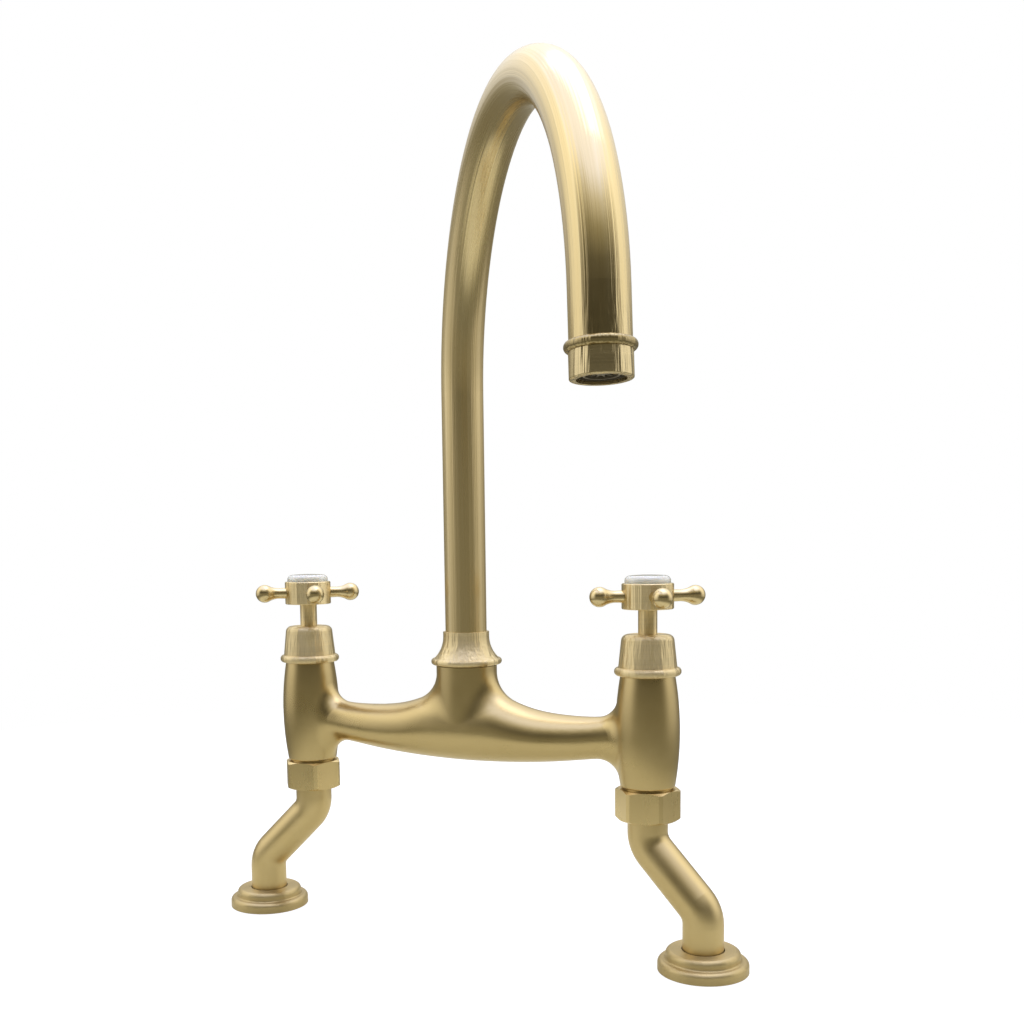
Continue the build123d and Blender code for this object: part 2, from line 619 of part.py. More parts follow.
def handle_stem():
    """Sleeve from the shroud to the hub, with a tenon into the hub."""
    sleeve = post(STEM_R, SHROUD_TOP - STEM_ENTRY, HUB_BOTTOM - FIT)
    sleeve += post(TENON_R, HUB_BOTTOM - FIT, HUB_BOTTOM + TENON_LENGTH)
    return sleeve - post(SPINDLE_TOP_R + FIT, SHROUD_TOP - STEM_ENTRY, HUB_BOTTOM + TENON_LENGTH)


ARM_HEIGHT = HUB_BOTTOM + HUB_HEIGHT / 2


def handle_hub():
    """Drum of the cross handle, with sockets for its arms and a recess for the button."""
    drum = post(HUB_R, HUB_BOTTOM, HUB_TOP)
    drum = chamfer(drum.edges().filter_by(GeomType.CIRCLE), HUB_EDGE)
    drum -= post(BUTTON_R + BUTTON_GAP, HUB_TOP - BUTTON_SEAT, HUB_TOP)
    drum -= post(BOSS_R + BOSS_SEAL_R, POCKET_FLOOR, HUB_TOP)
    drum -= post(TENON_R + FIT, HUB_BOTTOM, HUB_TOP)
    socket = Rot(0, -90, 0) * Cylinder(ARM_TAIL_R + FIT, ARM_TAIL + FIT, align=ON_BASE)
    socket = Pos(HUB_R, 0, ARM_HEIGHT) * socket
    return drum - [Rot(0, 0, 360 * n / ARM_COUNT) * socket for n in range(ARM_COUNT)]


def handle_arms():
    """Ball-ended arms, each with a tail screwed into the hub."""
    ball_x = ARM_TIP - ARM_BALL_R
    root_x = sqrt(HUB_R**2 - ARM_ROOT_R**2) + FIT
    shank = Polygon(
        (root_x, -ARM_ROOT_R), (ball_x, -ARM_NECK_R), (ball_x, ARM_NECK_R), (root_x, ARM_ROOT_R), align=None
    )
    outline = Pos(ball_x, 0) * Circle(ARM_BALL_R) + shank
    outline &= Rectangle(2 * ARM_TIP, ARM_TIP, align=(Align.CENTER, Align.MIN))
    blend_x = ball_x - sqrt(ARM_BALL_R**2 - ARM_NECK_R**2)
    corner = outline.vertices().sort_by_distance((blend_x, ARM_NECK_R))[0]
    arm = revolve(Plane.XZ * fillet(corner, ARM_BLEND), Axis.X)
    saddle = post(HUB_R + FIT, -ARM_TIP, ARM_TIP)
    tail = Rot(0, 90, 0) * Cylinder(ARM_TAIL_R, ARM_TAIL + 2 * FIT, align=ON_BASE)
    tail = Pos(HUB_R - ARM_TAIL, 0, 0) * tail
    arm = Pos(0, 0, ARM_HEIGHT) * (arm - saddle + tail)
    return Part() + [Rot(0, 0, 360 * n / ARM_COUNT) * arm for n in range(ARM_COUNT)]


def index_button():
    """Domed porcelain button, with a hollow boss that clips into the hub."""
    seat = HUB_TOP - BUTTON_SEAT + FIT
    top = HUB_TOP + BUTTON_RISE
    crown_r = (BUTTON_R**2 + BUTTON_CROWN**2) / (2 * BUTTON_CROWN)
    crown = CenterArc((0, top - crown_r), crown_r, 90, -degrees(asin(BUTTON_R / crown_r)))
    outline = make_face(crown + Polyline((0, top), (0, seat), (BUTTON_R, seat), crown @ 1))
    corner = outline.vertices().sort_by_distance(crown @ 1)[0]
    cap = revolve(Plane.XZ * fillet(corner, BUTTON_EDGE), Axis.Z)
    boss = pipe(BOSS_R, BOSS_R - BOSS_WALL, seat - BOSS_LENGTH, seat)
    middle = seat - BOSS_LENGTH / 2
    groove = pipe(BOSS_R + FIT, BOSS_R - BOSS_SEAL_R, middle - BOSS_SEAL_R, middle + BOSS_SEAL_R)
    return cap + boss - groove


def button_ring():
    """O-ring that grips the button's boss."""
    middle = HUB_TOP - BUTTON_SEAT + FIT - BOSS_LENGTH / 2
    return o_ring(BOSS_R, BOSS_SEAL_R - FIT, middle)


def handle_screw():
    """Cap screw that holds the handle on the spindle, under the button."""
    head = post(SCREW_HEAD_R, POCKET_FLOOR + FIT, POCKET_FLOOR + SCREW_HEAD)
    head -= hexagon(SCREW_SOCKET, POCKET_FLOOR + SCREW_HEAD / 3, POCKET_FLOOR + SCREW_HEAD)
    return head + post(SCREW_R, POCKET_FLOOR + FIT - SCREW_LENGTH, POCKET_FLOOR + FIT)


# ---- One union and leg, drawn with the pillar on the Z axis and the foot towards +X -----------
def union_nut():
    """Hexagon nut that clamps the leg's collar to the pillar's tail."""
    nut = hex_nut(NUT_FLATS, NUT_CORNER_R, NUT_FACE_R, NUT_BOTTOM, NUT_TOP)
    bore = post(SPIGOT_R + FIT, NUT_BOTTOM + NUT_WEB, NUT_TOP)
    return nut - bore - post(LEG_R + FREE_GAP, NUT_BOTTOM, NUT_TOP)


def union_washer():
    """Fibre washer between the pillar's tail and the leg's collar."""
    return pipe(LEG_COLLAR_R, INLET_R, SPIGOT_END - UNION_WASHER, SPIGOT_END - FIT)


def leg_line():
    """Centre line of the cranked leg, from the union down to the deck."""
    slant = radians(LEG_SLANT)
    upper = NUT_BOTTOM - LEG_DROP
    rise = upper - LEG_FOOT_RISE
    bend = (LEG_OFFSET * cos(slant) - rise * sin(slant)) / (2 * (cos(slant) - 1))
    reach = bend * tan(slant / 2)
    knee = upper - reach
    ankle = LEG_FOOT_RISE + reach
    line = FilletPolyline(
        (0, LEG_TOP), (0, knee), (LEG_OFFSET, ankle), (LEG_OFFSET, LEG_TUBE_LIFT), radius=bend
    )
    return Plane.XZ * line


def leg():
    """Cranked tube with the collar that the union nut holds."""
    line = leg_line()
    start = Plane(origin=(0, 0, LEG_TOP), z_dir=(0, 0, -1))
    outer = sweep(start * Circle(LEG_R), path=line)
    inner = sweep(start * Circle(LEG_BORE_R), path=line)
    return outer + post(LEG_COLLAR_R, LEG_TOP - LEG_COLLAR, LEG_TOP) - inner


def flange():
    """Stepped cover plate where the leg meets the deck, with a groove for its seal and room for the shank."""
    plate = turned(
        (0, 0),
        (FLANGE_R, 0),
        (FLANGE_R, FLANGE_RIM, FLANGE_RIM_EDGE),
        (FLANGE_STEP_R, FLANGE_RIM, FLANGE_COVE),
        (FLANGE_STEP_R, FLANGE_HEIGHT, FLANGE_STEP_EDGE),
        (0, FLANGE_HEIGHT),
    )
    groove = pipe(FLANGE_SEAL_R, FLANGE_SEAL_R - FLANGE_SEAL_WIDTH, 0, FLANGE_SEAL)
    relief = post(SHANK_R + FREE_GAP, 0, FLANGE_SEAL)
    return plate - groove - relief - post(LEG_R + FLANGE_GAP, 0, FLANGE_HEIGHT)


def flange_seal():
    """Rubber ring in the flange's underside."""
    inner = FLANGE_SEAL_R - FLANGE_SEAL_WIDTH + FIT
    return pipe(FLANGE_SEAL_R - FIT, inner, 0, FLANGE_SEAL - FIT)


def shank():
    """Inlet tail, screwed into the foot of the leg, with a thread for the backnut and one for the supply."""
    shoulder = BACKNUT_BOTTOM - SHANK_SHOULDER
    outside = turned(
        (0, SHANK_END),
        (INLET_THREAD_R - THREAD_CHAMFER, SHANK_END),
        (INLET_THREAD_R, SHANK_END + THREAD_CHAMFER),
        (INLET_THREAD_R, shoulder - SHANK_RELIEF),
        (INLET_THREAD_R - SHANK_RELIEF, shoulder - SHANK_RELIEF),
        (INLET_THREAD_R - SHANK_RELIEF, shoulder),
        (SHANK_R, shoulder),
        (SHANK_R, -FREE_GAP),
        (LEG_R, -FREE_GAP),
        (LEG_R, LEG_TUBE_LIFT - FIT),
        (0, LEG_TUBE_LIFT - FIT),
    )
    outside += post(LEG_BORE_R - FIT, LEG_TUBE_LIFT - FIT, LEG_TUBE_LIFT + SHANK_SOCKET)
    return outside - post(SHANK_BORE_R, SHANK_END, LEG_TUBE_LIFT + SHANK_SOCKET)


def backnut():
    """Hexagon nut that clamps the faucet to the deck from below."""
    corner = BACKNUT_FLATS / 2 / cos(radians(30))
    nut = hex_nut(BACKNUT_FLATS, corner, BACKNUT_FLATS / 2, BACKNUT_BOTTOM, BACKNUT_TOP)
    return nut - post(SHANK_R + FIT, BACKNUT_BOTTOM, BACKNUT_TOP)


def deck_washer(thickness, top):
    """Flat washer under the deck."""
    return pipe(WASHER_R, SHANK_R + WASHER_GAP, top - thickness, top - FIT)


# ---- Assembly -------------------------------------------------------------------------------
HOT, COLD = "hot", "cold"
SIDES = {HOT: -1, COLD: 1}
HANDLE_TURNS = {HOT: HOT_HANDLE_TURN, COLD: COLD_HANDLE_TURN}
NUT_TURNS = {HOT: HOT_NUT_TURN, COLD: COLD_NUT_TURN}

SPOUT_NODES = {
    "spout_tail": spout_tail,
    "spout_seals": spout_seals,
    "spout_tube": spout_tube,
}
OUTLET_NODES = {
    "outlet_ferrule": outlet_ferrule,
    "aerator_housing": aerator_housing,
    "aerator_cage": aerator_cage,
    "aerator_screens": aerator_screens,
    "aerator_seal": aerator_seal,
}
VALVE_NODES = {
    "valve_body": valve_body,
    "body_seal": body_seal,
    "seat_seal": seat_seal,
    "fixed_disc": fixed_disc,
    "shroud": shroud,
    "union_washer": union_washer,
}
HANDLE_NODES = {
    "moving_disc": moving_disc,
    "spindle": spindle,
    "spindle_seals": spindle_seals,
    "spindle_clip": spindle_clip,
    "handle_stem": handle_stem,
    "handle_hub": handle_hub,
    "handle_arms": handle_arms,
    "handle_screw": handle_screw,
    "index_button": index_button,
    "button_ring": button_ring,
}
FOOT_NODES = {
    "flange": flange,
    "flange_seal": flange_seal,
    "shank": shank,
    "deck_seal": lambda: deck_washer(RUBBER_WASHER, DECK_UNDERSIDE),
    "deck_washer": lambda: deck_washer(BRASS_WASHER, DECK_UNDERSIDE - RUBBER_WASHER),
    "backnut": backnut,
}


def assembly():
    """Every node's name and its solid in place."""
    parts = {
        "bridge_casting": bridge_casting(),
        "spout_collar": spout_collar(),
        "lower_slip_washer": slip_washer(NECK_END),
        "upper_slip_washer": slip_washer(COLLAR_LEDGE - SLIP_WASHER),
    }
    swing = Rot(0, 0, SPOUT_TURN - 90)
    for name, make in SPOUT_NODES.items():
        parts[name] = swing * make()
    for name, make in OUTLET_NODES.items():
        parts[name] = swing * outlet_place().location * make()
    for side, sign in SIDES.items():
        pillar_place = Pos(sign * PILLAR_SPACING / 2, 0, 0)
        outward = 0 if sign > 0 else 180
        leg_place = pillar_place * Rot(0, 0, outward - sign * LEG_TURN)
        handle_place = pillar_place * Rot(0, 0, HANDLE_TURNS[side])
        for name, make in VALVE_NODES.items():
            parts[f"{side}_{name}"] = pillar_place * make()
        for name, make in HANDLE_NODES.items():
            parts[f"{side}_{name}"] = handle_place * make()
        parts[f"{side}_union_nut"] = pillar_place * Rot(0, 0, NUT_TURNS[side]) * union_nut()
        parts[f"{side}_leg"] = leg_place * leg()
        for name, make in FOOT_NODES.items():
            parts[f"{side}_{name}"] = leg_place * Pos(LEG_OFFSET, 0, 0) * make()
    return parts


os.makedirs("parts", exist_ok=True)
for node, solid in assembly().items():
    export_step(solid, f"parts/{node}.step")
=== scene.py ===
import bpy
import json
from math import cos, radians, sin
from mathutils import Matrix, Vector


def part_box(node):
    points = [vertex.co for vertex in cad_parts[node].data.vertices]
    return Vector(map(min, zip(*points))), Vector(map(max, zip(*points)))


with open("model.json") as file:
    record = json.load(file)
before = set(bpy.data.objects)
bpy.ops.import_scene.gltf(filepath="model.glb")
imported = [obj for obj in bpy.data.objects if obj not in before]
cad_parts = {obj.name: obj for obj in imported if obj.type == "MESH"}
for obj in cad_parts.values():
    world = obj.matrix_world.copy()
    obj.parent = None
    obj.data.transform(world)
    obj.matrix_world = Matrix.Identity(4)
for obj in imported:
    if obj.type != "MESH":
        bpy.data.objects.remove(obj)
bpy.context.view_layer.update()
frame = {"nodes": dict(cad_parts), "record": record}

# Bridge kitchen faucet in brushed warm brass with white porcelain buttons.
# Lengths are in metres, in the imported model's frame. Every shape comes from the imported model.
NODES = frame["nodes"]

# ---- Colours, linear ------------------------------------------------------------------------
BRASS = (0.70, 0.545, 0.262)
BRASS_DEEP = (0.60, 0.455, 0.202)
BRASS_PALE = (0.70, 0.565, 0.31)
BRASS_RAW = (0.72, 0.52, 0.22)
PORCELAIN = (0.78, 0.75, 0.63)
PORCELAIN_SHADE = (0.6, 0.57, 0.48)
CERAMIC = (0.78, 0.76, 0.70)
PTFE = (0.85, 0.85, 0.83)
STEEL = (0.55, 0.55, 0.54)
NYLON = (0.20, 0.17, 0.12)
BLACK_RUBBER = (0.012, 0.012, 0.012)
FIBRE_RED = (0.22, 0.035, 0.02)
WHITE = (1.0, 1.0, 1.0)


def mixed(colour_a, colour_b, share):
    """Colour between two colours."""
    return tuple(a + (b - a) * share for a, b in zip(colour_a, colour_b))


def scaled(colour, factor):
    """Lighter or darker colour."""
    return tuple(factor * value for value in colour)


# ---- Node helpers ---------------------------------------------------------------------------
class Nodes:
    """Short calls that add nodes to one node tree. A value may be a number, a tuple or a socket."""

    def __init__(self, tree):
        self.tree = tree

    def node(self, kind, **settings):
        made = self.tree.nodes.new(kind)
        for key, value in settings.items():
            setattr(made, key, value)
        return made

    def link(self, source, target):
        self.tree.links.new(source, target)

    def feed(self, target, value):
        """Sets a socket to a value, or links it to another socket."""
        if isinstance(value, bpy.types.NodeSocket):
            self.link(value, target)
        else:
            target.default_value = value

    def math(self, operation, a, b=0.0):
        made = self.node("ShaderNodeMath", operation=operation)
        self.feed(made.inputs[0], a)
        self.feed(made.inputs[1], b)
        return made.outputs[0]

    def add(self, a, b):
        return self.math("ADD", a, b)

    def times(self, a, b):
        return self.math("MULTIPLY", a, b)

    def combine(self, x, y, z):
        made = self.node("ShaderNodeCombineXYZ")
        for socket, value in zip(made.inputs, (x, y, z)):
            self.feed(socket, value)
        return made.outputs[0]

    def split(self, vector):
        made = self.node("ShaderNodeSeparateXYZ")
        self.link(vector, made.inputs[0])
        return made.outputs

    def vector(self, operation, a, b=None):
        """Vector sum, product or direction, or for a dot product or a length its number."""
        made = self.node("ShaderNodeVectorMath", operation=operation)
        self.feed(made.inputs[0], a)
        if b is not None:
            self.feed(made.inputs[1], b)
        return made.outputs["Value" if operation in ("DOT_PRODUCT", "LENGTH") else "Vector"]

    def blend(self, share, colour_a, colour_b):
        """Mixes two colours by a share from 0 to 1."""
        made = self.node("ShaderNodeMix", data_type="RGBA")
        colours = [socket for socket in made.inputs if socket.type == "RGBA"]
        self.feed(made.inputs["Factor"], share)
        for socket, colour in zip(colours, (colour_a, colour_b)):
            self.feed(socket, colour)
        return [socket for socket in made.outputs if socket.type == "RGBA"][0]

    def camera_sees(self, seen, otherwise):
        """One shader for what the camera sees directly and another for light and reflections."""
        rays = self.node("ShaderNodeLightPath")
        choice = self.node("ShaderNodeMixShader")
        self.link(rays.outputs["Is Camera Ray"], choice.inputs[0])
        self.link(otherwise, choice.inputs[1])
        self.link(seen, choice.inputs[2])
        return choice.outputs[0]


class Shader(Nodes):
    """A new material with a Principled shader."""

    def __init__(self, name):
        self.material = bpy.data.materials.new(name)
        self.material.use_nodes = True
        super().__init__(self.material.node_tree)
        self.principled = self.tree.nodes["Principled BSDF"]

    def set(self, **values):
        """Feeds the Principled shader's inputs, named with underscores for spaces."""
        for key, value in values.items():
            self.feed(self.principled.inputs[key.replace("_", " ")], value)

    def place(self, origin=(0, 0, 0), turn=(0, 0, 0)):
        """Coordinates in a local frame with this origin and turn, which ride with the piece."""
        coordinates = self.node("ShaderNodeTexCoord")
        mapping = self.node("ShaderNodeMapping", vector_type="TEXTURE")
        mapping.inputs["Location"].default_value = origin
        mapping.inputs["Rotation"].default_value = turn
        self.link(coordinates.outputs["Object"], mapping.inputs["Vector"])
        return mapping.outputs[0]

    def noise(self, vector, scale, detail=3.0, roughness=0.55):
        """Noise from about 0.3 to 0.7, with this many cells in a metre."""
        made = self.node("ShaderNodeTexNoise")
        made.inputs["Scale"].default_value = scale
        made.inputs["Detail"].default_value = detail
        made.inputs["Roughness"].default_value = roughness
        self.link(vector, made.inputs["Vector"])
        return made.outputs["Fac"]

    def spread(self, value, low, high, start=0.3, stop=0.7):
        """Maps a noise value from start..stop to low..high."""
        made = self.node("ShaderNodeMapRange")
        self.link(value, made.inputs["Value"])
        for key, number in (("From Min", start), ("From Max", stop), ("To Min", low), ("To Max", high)):
            made.inputs[key].default_value = number
        return made.outputs[0]

    def tint(self, value, dark, light):
        """Mixes two plain colours by a value from 0 to 1."""
        return self.blend(value, (*dark, 1), (*light, 1))

    def bump(self, height, depth, below=None):
        """Small surface relief, in metres of depth, on top of any relief below it."""
        made = self.node("ShaderNodeBump")
        made.inputs["Strength"].default_value = 1.0
        made.inputs["Distance"].default_value = depth
        self.link(height, made.inputs["Height"])
        if below is not None:
            self.link(below, made.inputs["Normal"])
        return made.outputs[0]

    def brushed(self, direction, share):
        """Fine scratches along a direction in the piece's frame: reflections spread across them."""
        to_world = self.node("ShaderNodeVectorTransform", vector_type="VECTOR", convert_from="OBJECT",
                             convert_to="WORLD")
        self.link(direction, to_world.inputs[0])
        normal = self.node("ShaderNodeNewGeometry").outputs["Normal"]
        self.set(Tangent=self.vector("CROSS_PRODUCT", normal, to_world.outputs[0]), Anisotropic=share)


# ---- Brass finishes -------------------------------------------------------------------------
# In satin() and turned_brass(), noise scales are per metre and depths of relief in metres.
def satin(name, colours, clouds, grains, rough, rough_grain, depth):
    """Satin brass: cloudy polish under a very fine grain. clouds and grains are scale and detail."""
    s = Shader(name)
    at = s.place()
    cloud = s.noise(at, *clouds)
    grain = s.noise(at, *grains)
    s.set(Metallic=1.0, Base_Color=s.tint(cloud, *colours))
    s.set(Roughness=s.add(s.spread(cloud, *rough), s.spread(grain, *rough_grain)))
    s.set(Normal=s.bump(grain, depth))
    return s.material


def turned_brass(name, origin, colour, rough, across, facets):
    """Brushed round the upright axis, so that reflections spread up and down, with faint upright bands.

    rough is the range of roughness, across the share by which reflections spread across the brushing,
    and facets the depth of the upright bands."""
    along_brush = 0.02          # noise is stretched along the brushing and along the bands by 1 / 0.02
    s = Shader(name)
    x, y, z = s.split(s.place(origin))
    radius = s.math("SQRT", s.add(s.times(x, x), s.times(y, y)))
    ring = s.combine(s.times(x, along_brush), s.times(y, along_brush), s.add(z, radius))
    fine = s.noise(ring, scale=5200.0, detail=2.0, roughness=0.7)
    wide = s.noise(ring, scale=600.0, detail=2.0)
    facet = s.noise(s.combine(x, y, s.times(z, along_brush)), scale=300.0, detail=3.0, roughness=0.6)
    s.set(Metallic=1.0, Base_Color=s.tint(s.spread(wide, 0.0, 1.0), scaled(colour, 0.9), colour))
    s.set(Roughness=s.add(s.spread(fine, *rough), s.spread(wide, -0.02, 0.03)))
    s.set(Normal=s.bump(facet, facets, below=s.bump(fine, 0.000004)))
    s.brushed(s.combine(s.times(y, -1.0), x, 0.0), across)
    return s.material


def spout_brass(turn, arch_base, arch_radius):
    """Brushed along the tube, so that fine streaks follow the riser and the arch.

    turn is the spout's direction from +X, and arch_base the height at which the arch begins."""
    s = Shader("spout_brass")
    along, across, up = s.split(s.place(turn=(0, 0, turn)))
    over = s.math("MAXIMUM", s.math("SUBTRACT", up, arch_base), 0.0)
    beside = s.math("SUBTRACT", along, arch_radius)
    square = s.add(s.times(beside, beside), s.times(over, over))
    inward = s.math("SUBTRACT", arch_radius, s.math("SQRT", square))
    length = s.times(s.add(up, along), 0.004)
    streak_at = s.combine(inward, across, length)
    fine = s.noise(streak_at, scale=2100.0, detail=3.0, roughness=0.7)
    wide = s.noise(streak_at, scale=260.0, detail=4.0, roughness=0.6)
    deep = mixed(BRASS_PALE, BRASS_DEEP, 0.7)
    s.set(Metallic=1.0, Base_Color=s.tint(s.spread(wide, 0.0, 1.0), deep, BRASS_PALE))
    worn = s.spread(along, low=0.30, high=0.17, start=0.0, stop=2 * arch_radius)
    s.set(Roughness=s.add(worn, s.spread(fine, -0.04, 0.05)))
    s.set(Normal=s.bump(wide, 0.00055, below=s.bump(fine, 0.000006)))
    tube = s.combine(s.times(over, cos(turn)), s.times(over, sin(turn)), s.times(beside, -1.0))
    s.brushed(tube, 0.7)
    return s.material


def nut_brass(name, origin):
    """Flats brushed upright, with a soft uneven sheen."""
    s = Shader(name)
    x, y, z = s.split(s.place(origin))
    fine = s.noise(s.combine(x, y, s.times(z, 0.03)), scale=1400.0, detail=3.0, roughness=0.6)
    cloud = s.noise(s.place(), scale=80.0)
    s.set(Metallic=1.0, Base_Color=s.tint(cloud, BRASS, scaled(BRASS, 1.12)))
    s.set(Roughness=s.add(s.spread(fine, 0.27, 0.31), s.spread(cloud, -0.03, 0.03)))
    s.set(Normal=s.bump(fine, 0.000006))
    return s.material


# ---- Other materials ------------------------------------------------------------------------
def porcelain():
    """White glaze over a slightly uneven body."""
    s = Shader("porcelain")
    at = s.place()
    cloud = s.noise(at, scale=160.0, detail=2.0)
    ripple = s.noise(at, scale=500.0, detail=1.0)
    s.set(Base_Color=s.tint(cloud, mixed(PORCELAIN, PORCELAIN_SHADE, 0.4), PORCELAIN))
    s.set(Roughness=s.spread(cloud, 0.08, 0.16), Normal=s.bump(ripple, 0.000006))
    s.set(Subsurface_Weight=1.0, Subsurface_Radius=(1.0, 0.9, 0.8), Subsurface_Scale=0.012)
    s.set(Coat_Weight=0.6, Coat_Roughness=0.04)
    return s.material


def plain_stuff(name, colour, rough, metallic, scale, depth):
    """Moulded, machined or rolled material with a fine uneven surface."""
    s = Shader(name)
    at = s.place()
    cloud = s.noise(at, scale / 12)
    grain = s.noise(at, scale)
    s.set(Metallic=metallic, Base_Color=s.tint(cloud, scaled(colour, 0.78), colour))
    s.set(Roughness=s.spread(grain, rough - 0.06, rough + 0.06), Normal=s.bump(grain, depth))
    return s.material


# ---- Give every node its material -----------------------------------------------------------
SPOUT_TURN = radians(39.7 - 90.0)       # direction of the spout, from +X
ARCH_RADIUS = 0.1114                    # of the tube's centreline
TUBE_RADIUS = 0.011
FINE_DEPTH = 0.00001

# Slot: colour, roughness, metallic, grain per metre, depth of the grain.
PLAIN_SLOTS = {
    "raw_brass": (BRASS_RAW, 0.3, 1.0, 1600.0, FINE_DEPTH),
    "steel": (STEEL, 0.35, 1.0, 1800.0, FINE_DEPTH),
    "nylon": (NYLON, 0.45, 0.0, 900.0, FINE_DEPTH),
    "ptfe": (PTFE, 0.4, 0.0, 700.0, FINE_DEPTH),
    "ceramic": (CERAMIC, 0.35, 0.0, 1200.0, FINE_DEPTH),
    "fibre": (FIBRE_RED, 0.75, 0.0, 1500.0, 0.00003),
    "rubber": (BLACK_RUBBER, 0.6, 0.0, 1300.0, 0.00002),
}
# Slot: two colours, clouds, grains, roughness, the grain's share of it, depth of the grain.
SATIN_SLOTS = {
    "cast_brass": ((scaled(BRASS_DEEP, 0.84), scaled(BRASS, 0.86)), (45.0, 4.0), (2600.0, 2.0),
                   (0.27, 0.34), (-0.015, 0.015), 0.000002),
    "leg_brass": ((BRASS_DEEP, mixed(BRASS_DEEP, BRASS_PALE, 0.6)), (60.0, 3.0), (3400.0, 2.0),
                  (0.33, 0.40), (-0.03, 0.03), 0.000007),
    "arm_brass": ((mixed(BRASS_PALE, BRASS_DEEP, 0.5), BRASS_PALE), (120.0, 3.0), (3000.0, 2.0),
                  (0.2, 0.27), (-0.02, 0.03), 0.000006),
}
TURNED_FINISH = {"colour": scaled(BRASS_PALE, 1.2), "rough": (0.34, 0.44), "across": 0.95, "facets": 0.001}
# Painted shade: the flanges' brass is darkened to 0.80 of BRASS against the bright light from above; their
# wider roughness is their own finish.
FLANGE_FINISH_AND_SHADE = {"colour": scaled(BRASS, 0.80), "rough": (0.40, 0.50), "across": 0.6, "facets": 0.0002}
HANDLE_FINISH = {**TURNED_FINISH, "colour": scaled(BRASS_PALE, 1.3), "rough": (0.30, 0.40)}
SMOOTH_FINISH = {**TURNED_FINISH, "across": 0.5}
# Turned pieces with a finish of their own; the flanges' also darkens their brass with painted shade. The
# others, shrouds and collar, have TURNED_FINISH.
OWN_FINISHES = {
    "hot_flange": FLANGE_FINISH_AND_SHADE, "cold_flange": FLANGE_FINISH_AND_SHADE,
    "hot_handle_hub": HANDLE_FINISH, "cold_handle_hub": HANDLE_FINISH,
    "hot_handle_stem": HANDLE_FINISH, "cold_handle_stem": HANDLE_FINISH,
    "outlet_ferrule": {**SMOOTH_FINISH, "colour": scaled(BRASS, 0.62), "rough": (0.18, 0.25)},
    "aerator_housing": {**SMOOTH_FINISH, "colour": BRASS_PALE, "rough": (0.20, 0.27)},
}


def middle(node):
    """Centre of a node's box."""
    low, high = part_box(node)
    return tuple((low + high) / 2)


def dress_all():
    """Gives each node the material of the slot that the record states for it."""
    shared = {slot: plain_stuff(slot, *values) for slot, values in PLAIN_SLOTS.items()}
    shared.update({slot: satin(slot, *values) for slot, values in SATIN_SLOTS.items()})
    shared["porcelain"] = porcelain()
    arch_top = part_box("spout_tube")[1].z
    shared["spout_brass"] = spout_brass(SPOUT_TURN, arch_top - TUBE_RADIUS - ARCH_RADIUS, ARCH_RADIUS)
    for row in frame["record"]["subparts"]:
        node, slot = row["node"], row["material_slot"]
        if slot == "turned_brass":
            material = turned_brass(f"turned_{node}", middle(node), **OWN_FINISHES.get(node, TURNED_FINISH))
        elif slot == "nut_brass":
            material = nut_brass(f"milled_{node}", middle(node))
        else:
            material = shared[slot]
        for place in NODES[node].material_slots:
            place.material = material


# ---- Floor ----------------------------------------------------------------------------------
TABLE_RADIUS = 0.9
TABLE_DROP = 0.0002                     # keeps the table top just under the feet
# Painted shade: away from the middle, the table top darkens from its pale colour to a dark one.
TABLE_PALE, TABLE_PAINTED_SHADE = (0.70, 0.68, 0.52), (0.20, 0.19, 0.13)
TABLE_EDGE = (0.26, 0.42)               # distances at which the pale top starts and ends falling off
SEEN_GREY, SEEN_GLOW = 0.30, 0.84       # the white floor that the camera sees, with a soft shadow


def floor():
    """Round pale table top, on which the object keeps a soft shadow. In reflections its top darkens towards
    the edge with painted shade.
    """
    bpy.ops.mesh.primitive_circle_add(vertices=128, radius=TABLE_RADIUS, fill_type="NGON",
                                      location=(0, 0, -TABLE_DROP))
    table = bpy.context.object
    table.name = "table_top"
    s = Shader("pale_table")
    s.tree.nodes.remove(s.principled)
    away = s.vector("LENGTH", s.place())
    matt = s.node("ShaderNodeBsdfDiffuse")
    # Painted shade: the reflected top darkens with distance from the middle, between the TABLE_EDGE
    # distances.
    s.link(s.tint(s.spread(away, 0.0, 1.0, *TABLE_EDGE), TABLE_PALE, TABLE_PAINTED_SHADE), matt.inputs["Color"])
    seen = s.node("ShaderNodeBsdfDiffuse")
    seen.inputs["Color"].default_value = (SEEN_GREY, SEEN_GREY, SEEN_GREY, 1)
    glow = s.node("ShaderNodeEmission")
    glow.inputs["Color"].default_value = (*WHITE, 1)
    glow.inputs["Strength"].default_value = SEEN_GLOW
    both = s.node("ShaderNodeAddShader")
    s.link(seen.outputs[0], both.inputs[0])
    s.link(glow.outputs[0], both.inputs[1])
    s.link(s.camera_sees(both.outputs[0], matt.outputs[0]), s.tree.nodes["Material Output"].inputs["Surface"])
    table.data.materials.append(s.material)


# ---- World: a bright ceiling and sides, and a dark room in front ----------------------------
FRONT = Vector((0.4617, -0.8870, 0.0))  # level direction from the faucet to the camera
ROOM_LIGHT = 2.5
WARM, PLAIN, COOL = (1.0, 0.95, 0.74), (1.0, 1.0, 1.0), (0.66, 0.71, 1.02)
